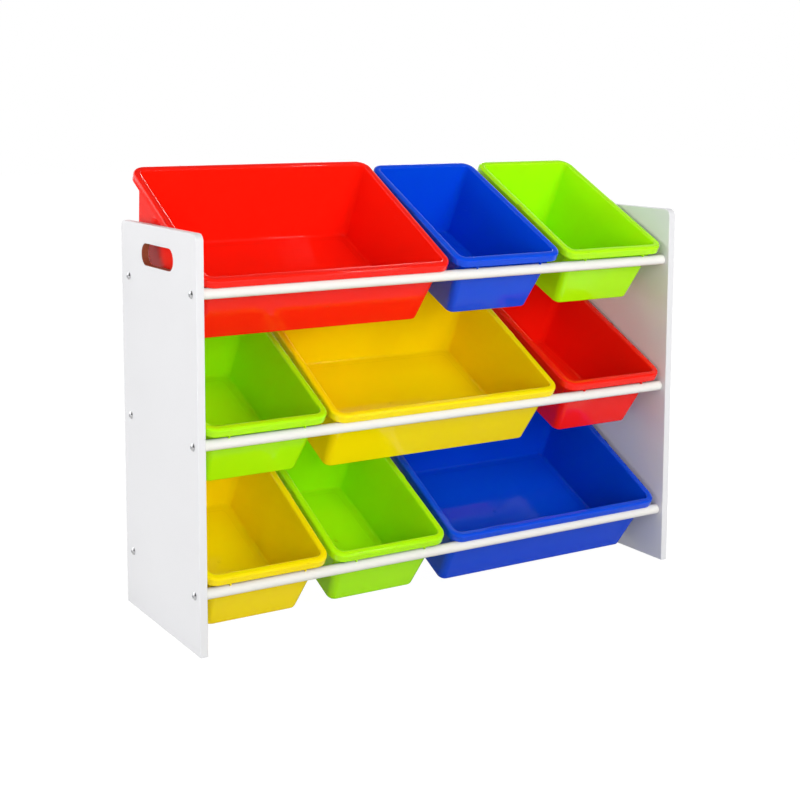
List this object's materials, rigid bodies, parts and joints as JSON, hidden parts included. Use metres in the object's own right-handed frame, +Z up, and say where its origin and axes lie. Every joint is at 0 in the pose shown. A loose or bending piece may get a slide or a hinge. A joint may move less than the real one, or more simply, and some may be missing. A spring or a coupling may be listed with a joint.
{
  "type": "toy storage organizer with bins",
  "caption": "Low open rack of two white side panels joined by rods, holding tilted open-top plastic bins of two widths in bright colours.",
  "frame": {"origin": "on the floor, midway across the width and midway between the foremost and rearmost points", "axes": "+X to the right as seen from the front, +Y to the back, +Z up"},
  "size_m": [0.8666, 0.2943, 0.6709],
  "materials": {
    "painted_board": "smooth white paint on fibreboard, raw brown board inside the hand holes",
    "painted_rod": "smooth off-white paint",
    "bolt_steel": "bright plated",
    "insert_brass": "machined",
    "red_plastic": "glossy moulded, slightly translucent",
    "blue_plastic": "glossy moulded, slightly translucent",
    "green_plastic": "glossy moulded, slightly translucent",
    "yellow_plastic": "glossy moulded, slightly translucent"
  },
  "bodies": {
    "frame": {"left_side_panel": "painted_board", "right_side_panel": "painted_board", "top_front_rod": "painted_rod", "top_back_rod": "painted_rod", "middle_front_rod": "painted_rod", "middle_back_rod": "painted_rod", "bottom_front_rod": "painted_rod", "bottom_back_rod": "painted_rod", "left_panel_bolts": "bolt_steel", "left_rod_inserts": "insert_brass", "right_panel_bolts": "bolt_steel", "right_rod_inserts": "insert_brass"},
    "top_large_red_bin": {"top_large_red_bin": "red_plastic"},
    "top_small_blue_bin": {"top_small_blue_bin": "blue_plastic"},
    "top_small_green_bin": {"top_small_green_bin": "green_plastic"},
    "middle_small_green_bin": {"middle_small_green_bin": "green_plastic"},
    "middle_large_yellow_bin": {"middle_large_yellow_bin": "yellow_plastic"},
    "middle_small_red_bin": {"middle_small_red_bin": "red_plastic"},
    "bottom_small_yellow_bin": {"bottom_small_yellow_bin": "yellow_plastic"},
    "bottom_small_green_bin": {"bottom_small_green_bin": "green_plastic"},
    "bottom_large_blue_bin": {"bottom_large_blue_bin": "blue_plastic"}
  },
  "joints": [
    {"name": "top_large_red_bin_lifts_out", "type": "slide", "parent": "frame", "child": "top_large_red_bin", "axis": [0, -0.4896, 0.8719], "range_m": [0, 0.3]},
    {"name": "top_small_blue_bin_lifts_out", "type": "slide", "parent": "frame", "child": "top_small_blue_bin", "axis": [0, -0.4576, 0.8891], "range_m": [0, 0.3]},
    {"name": "top_small_green_bin_lifts_out", "type": "slide", "parent": "frame", "child": "top_small_green_bin", "axis": [0, -0.4576, 0.8891], "range_m": [0, 0.3]},
    {"name": "middle_small_green_bin_lifts_out", "type": "slide", "parent": "frame", "child": "middle_small_green_bin", "axis": [0, 0.8387, 0.5446], "range_m": [0, 0.33]},
    {"name": "middle_large_yellow_bin_lifts_out", "type": "slide", "parent": "frame", "child": "middle_large_yellow_bin", "axis": [0, 0.8387, 0.5446], "range_m": [0, 0.33]},
    {"name": "middle_small_red_bin_lifts_out", "type": "slide", "parent": "frame", "child": "middle_small_red_bin", "axis": [0, 0.8387, 0.5446], "range_m": [0, 0.33]},
    {"name": "bottom_small_yellow_bin_lifts_out", "type": "slide", "parent": "frame", "child": "bottom_small_yellow_bin", "axis": [0, 0.8387, 0.5446], "range_m": [0, 0.33]},
    {"name": "bottom_small_green_bin_lifts_out", "type": "slide", "parent": "frame", "child": "bottom_small_green_bin", "axis": [0, 0.8387, 0.5446], "range_m": [0, 0.33]},
    {"name": "bottom_large_blue_bin_lifts_out", "type": "slide", "parent": "frame", "child": "bottom_large_blue_bin", "axis": [0, 0.8387, 0.5446], "range_m": [0, 0.33]}
  ]
}
